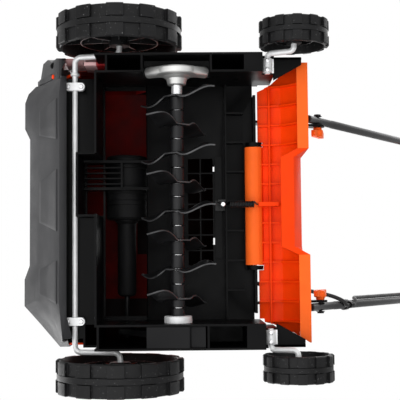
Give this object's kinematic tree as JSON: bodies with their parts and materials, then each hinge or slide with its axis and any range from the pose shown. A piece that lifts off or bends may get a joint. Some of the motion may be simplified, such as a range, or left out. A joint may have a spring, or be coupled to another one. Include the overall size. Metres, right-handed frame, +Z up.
{
  "type": "walk-behind electric lawn scarifier",
  "caption": "Walk-behind electric lawn scarifier: bladed rotor across an open-bottomed deck, cranked front axle for depth, sprung rear flap and a folding handle.",
  "frame": {"origin": "on the ground, under the middle of the bounding box, with the machine standing on its four wheels and the handle up", "axes": "+Z up, -Y towards the front cover (the way it is pushed), +Y towards the operator, +X to the machine's left as seen from the operator looking forwards"},
  "size_m": [0.53, 0.9721, 0.9413],
  "materials": {
    "black_plastic": "glossy black moulded plastic",
    "grey_plastic": "matt dark grey moulded plastic",
    "orange_plastic": "satin orange moulded plastic",
    "wheel_plastic": "matt black moulded plastic",
    "zinc_steel": "bright zinc-plated steel",
    "cast_aluminium": "satin die-cast aluminium",
    "black_steel": "black-painted steel",
    "tube_paint": "satin black powder-coated tube",
    "foam": "black foam",
    "cable": "black cable sheath"
  },
  "bodies": {
    "chassis": {"deck": "black_plastic", "hood": "orange_plastic", "front_cover": "grey_plastic", "belt_cover": "grey_plastic", "bearing_block": "cast_aluminium", "drive_bearing": "zinc_steel", "axle_clamp_left": "zinc_steel", "axle_clamp_right": "zinc_steel", "rear_axle_left": "zinc_steel", "rear_axle_right": "zinc_steel", "rear_axle_clamp_left": "zinc_steel", "rear_axle_clamp_right": "zinc_steel", "motor_can": "black_plastic", "motor_tube": "black_plastic", "flap_hinge_pin": "zinc_steel", "spring_bracket": "black_steel", "handle_bracket_left": "black_plastic", "handle_bracket_right": "black_plastic", "flap_spring": "black_steel", "drive_belt": "cable", "lead_gland": "black_plastic", "lead_loop": "cable"},
    "front_axle": {"front_axle": "zinc_steel", "depth_lever": "orange_plastic"},
    "front_wheel_left": {"front_wheel_left": "wheel_plastic", "front_hub_cap_left": "grey_plastic"},
    "front_wheel_right": {"front_wheel_right": "wheel_plastic", "front_hub_cap_right": "grey_plastic"},
    "rear_wheel_left": {"rear_wheel_left": "wheel_plastic", "rear_hub_cap_left": "grey_plastic"},
    "rear_wheel_right": {"rear_wheel_right": "wheel_plastic", "rear_hub_cap_right": "grey_plastic"},
    "rotor": {"rotor_shaft": "black_steel", "blade_1": "black_steel", "blade_2": "black_steel", "blade_3": "black_steel", "blade_4": "black_steel", "blade_5": "black_steel", "blade_6": "black_steel", "blade_7": "black_steel", "blade_8": "black_steel", "rotor_pulley": "black_steel"},
    "armature": {"motor_shaft": "zinc_steel", "motor_pulley": "black_steel"},
    "flap": {"flap": "orange_plastic"},
    "lower_handle": {"handle_tube_left": "tube_paint", "handle_tube_right": "tube_paint", "cable_clip": "black_plastic", "lead_lower": "cable"},
    "lower_knob_left": {"lower_knob_left": "orange_plastic"},
    "lower_knob_right": {"lower_knob_right": "orange_plastic"},
    "upper_handle": {"upper_handle": "tube_paint", "switch_box": "black_plastic", "foam_grip": "foam", "lead_upper": "cable", "power_inlet": "black_plastic"},
    "upper_knob_left": {"upper_knob_left": "orange_plastic"},
    "upper_knob_right": {"upper_knob_right": "orange_plastic"},
    "bail": {"start_bail": "orange_plastic"},
    "button": {"lock_off_button": "orange_plastic"}
  },
  "joints": [
    {"name": "depth_adjust", "type": "hinge", "parent": "chassis", "child": "front_axle", "pos_m": [0, -0.40364, 0.104], "axis": [1, 0, 0], "range_deg": [0, 24]},
    {"name": "front_wheel_left_roll", "type": "hinge", "parent": "front_axle", "child": "front_wheel_left", "pos_m": [0.24225, -0.33864, 0.08983], "axis": [1, 0, 0], "continuous": true},
    {"name": "front_wheel_right_roll", "type": "hinge", "parent": "front_axle", "child": "front_wheel_right", "pos_m": [-0.24225, -0.33864, 0.08983], "axis": [1, 0, 0], "continuous": true},
    {"name": "rear_wheel_left_roll", "type": "hinge", "parent": "chassis", "child": "rear_wheel_left", "pos_m": [0.23025, -0.09264, 0.04863], "axis": [1, 0, 0], "continuous": true},
    {"name": "rear_wheel_right_roll", "type": "hinge", "parent": "chassis", "child": "rear_wheel_right", "pos_m": [-0.23025, -0.09264, 0.04863], "axis": [1, 0, 0], "continuous": true},
    {"name": "rotor_spin", "type": "hinge", "parent": "chassis", "child": "rotor", "pos_m": [0, -0.25664, 0.078], "axis": [1, 0, 0], "continuous": true},
    {"name": "motor_spin", "type": "hinge", "parent": "chassis", "child": "armature", "pos_m": [-0.1, -0.33464, 0.185], "axis": [1, 0, 0], "continuous": true},
    {"name": "flap_swing", "type": "hinge", "parent": "chassis", "child": "flap", "pos_m": [0, -0.14414, 0.1425], "axis": [1, 0, 0], "range_deg": [0, 42], "stiffness_Nm_per_rad": 0.35, "springref_deg": -17.19, "deforming": ["flap_spring"]},
    {"name": "handle_fold", "type": "hinge", "parent": "chassis", "child": "lower_handle", "pos_m": [0, -0.03764, 0.225], "axis": [1, 0, 0], "range_deg": [0, 105]},
    {"name": "upper_fold", "type": "hinge", "parent": "lower_handle", "child": "upper_handle", "pos_m": [0, 0.16809, 0.50816], "axis": [1, 0, 0], "range_deg": [-130, 0]},
    {"name": "lower_knob_left_turn", "type": "hinge", "parent": "chassis", "child": "lower_knob_left", "pos_m": [0.1185, -0.03764, 0.225], "axis": [1, 0, 0], "continuous": true},
    {"name": "lower_knob_right_turn", "type": "hinge", "parent": "chassis", "child": "lower_knob_right", "pos_m": [-0.1395, -0.03764, 0.225], "axis": [1, 0, 0], "continuous": true},
    {"name": "upper_knob_left_turn", "type": "hinge", "parent": "lower_handle", "child": "upper_knob_left", "pos_m": [0.1185, 0.16809, 0.50816], "axis": [1, 0, 0], "continuous": true},
    {"name": "upper_knob_right_turn", "type": "hinge", "parent": "lower_handle", "child": "upper_knob_right", "pos_m": [-0.1395, 0.16809, 0.50816], "axis": [1, 0, 0], "continuous": true},
    {"name": "bail_pull", "type": "hinge", "parent": "upper_handle", "child": "bail", "pos_m": [0, 0.40908, 0.83985], "axis": [1, 0, 0], "range_deg": [-20, 0], "stiffness_Nm_per_rad": 0.8, "springref_deg": 28.65},
    {"name": "button_push", "type": "slide", "parent": "upper_handle", "child": "button", "axis": [0, 0.809, -0.5878], "range_m": [0, 0.005], "stiffness_N_per_m": 300, "springref_m": -0.003}
  ],
  "couplings": [
    {"joint": "motor_spin", "follows": "rotor_spin", "ratio": 2.4719}
  ]
}
